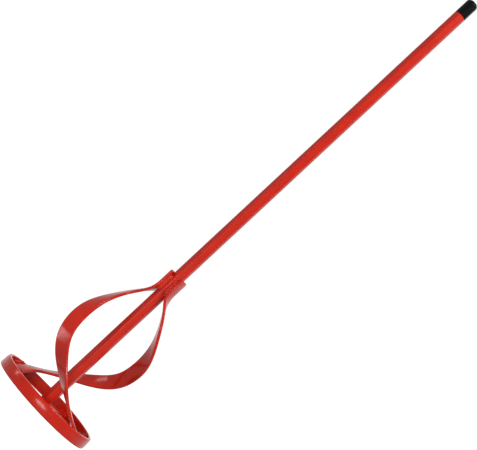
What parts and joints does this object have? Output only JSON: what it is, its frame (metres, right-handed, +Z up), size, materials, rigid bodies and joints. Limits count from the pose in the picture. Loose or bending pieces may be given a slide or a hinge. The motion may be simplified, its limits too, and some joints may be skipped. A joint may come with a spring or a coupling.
{
  "type": "drill paint mixer",
  "caption": "Stirrer for a drill: hexagonal steel shaft, twisted strip blades running down to a hoop, red enamel, black push-on cap over the shank.",
  "frame": {"origin": "centre of the hoop's lower rim, where the upright mixer rests", "axes": "+Z up the shaft towards the shank; +X out of the shaft flat that blade_b is welded to; the crossbar runs along Y"},
  "size_m": [0.08, 0.08, 0.4],
  "materials": {
    "red_enamel": "glossy red enamel over steel",
    "cap_black": "smooth black dipped plastic"
  },
  "bodies": {
    "mixer": {"hex_shaft": "red_enamel", "hoop": "red_enamel", "hoop_crossbar": "red_enamel", "weld_hoop_seam": "red_enamel", "blade_a": "red_enamel", "weld_blade_a_shaft_left": "red_enamel", "weld_blade_a_shaft_right": "red_enamel", "weld_blade_a_hoop_over": "red_enamel", "weld_blade_a_hoop_under": "red_enamel", "weld_bar_shaft_a": "red_enamel", "weld_bar_hoop_a": "red_enamel", "blade_b": "red_enamel", "weld_blade_b_shaft_left": "red_enamel", "weld_blade_b_shaft_right": "red_enamel", "weld_blade_b_hoop_over": "red_enamel", "weld_blade_b_hoop_under": "red_enamel", "weld_bar_shaft_b": "red_enamel", "weld_bar_hoop_b": "red_enamel"},
    "cap": {"shank_cap": "cap_black"}
  },
  "joints": [
    {"name": "cap_pull", "type": "slide", "parent": "mixer", "child": "cap", "axis": [0, 0, 1], "range_m": [0, 0.016]}
  ]
}
